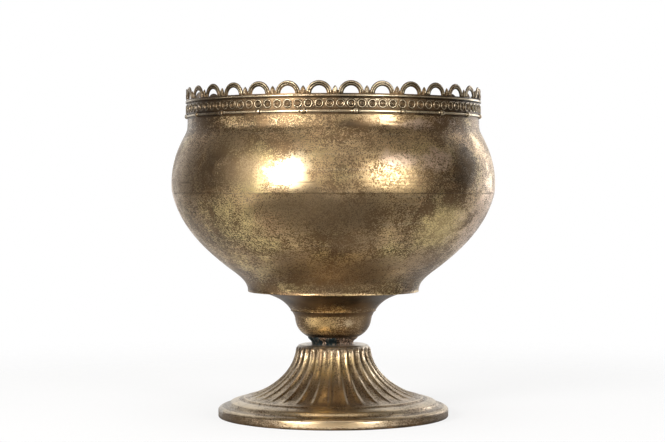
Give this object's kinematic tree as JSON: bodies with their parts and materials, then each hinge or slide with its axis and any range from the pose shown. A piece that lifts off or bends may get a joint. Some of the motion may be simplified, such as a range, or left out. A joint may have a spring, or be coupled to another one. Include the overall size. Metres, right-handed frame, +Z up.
{
  "type": "flower pot",
  "caption": "Round-bellied pedestal flower pot in aged sheet brass, with a pierced arched gallery round the neck and a fluted bell foot.",
  "frame": {"origin": "centre of the foot's resting face, on the axis of revolution", "axes": "+Z up along the axis of revolution; -Y is the front, the side that the picture shows; +X is to the right"},
  "size_m": [0.2718, 0.2718, 0.2749],
  "materials": {
    "bowl_brass": "aged, mottled dark patina with fine pitting and faint spinning lines",
    "foot_brass": "aged, dull grey-brown in the channels, rubbed brighter on the ridges and lip",
    "cup_brass": "aged dark patina with turning lines",
    "collar_brass": "rough, dark, uncleaned after soldering",
    "gallery_brass": "aged, dark in the recesses, rubbed on the raised beads",
    "solder": "grey-green oxidised solder beads",
    "zinc_steel": "dull zinc-plated steel",
    "seal_rubber": "matt black rubber"
  },
  "bodies": {
    "root": {"fluted_foot": "foot_brass", "neck_collar": "collar_brass", "collar_tacks": "solder", "pedestal_cup": "cup_brass", "bowl_lower_shell": "bowl_brass", "bowl_upper_shell": "bowl_brass", "gallery_strip": "gallery_brass", "knotted_wire": "gallery_brass", "tie_bolt": "zinc_steel", "bowl_seal": "seal_rubber", "bowl_washer": "zinc_steel", "foot_washer": "zinc_steel", "lock_washer": "zinc_steel", "foot_nut": "zinc_steel"}
  },
  "joints": []
}
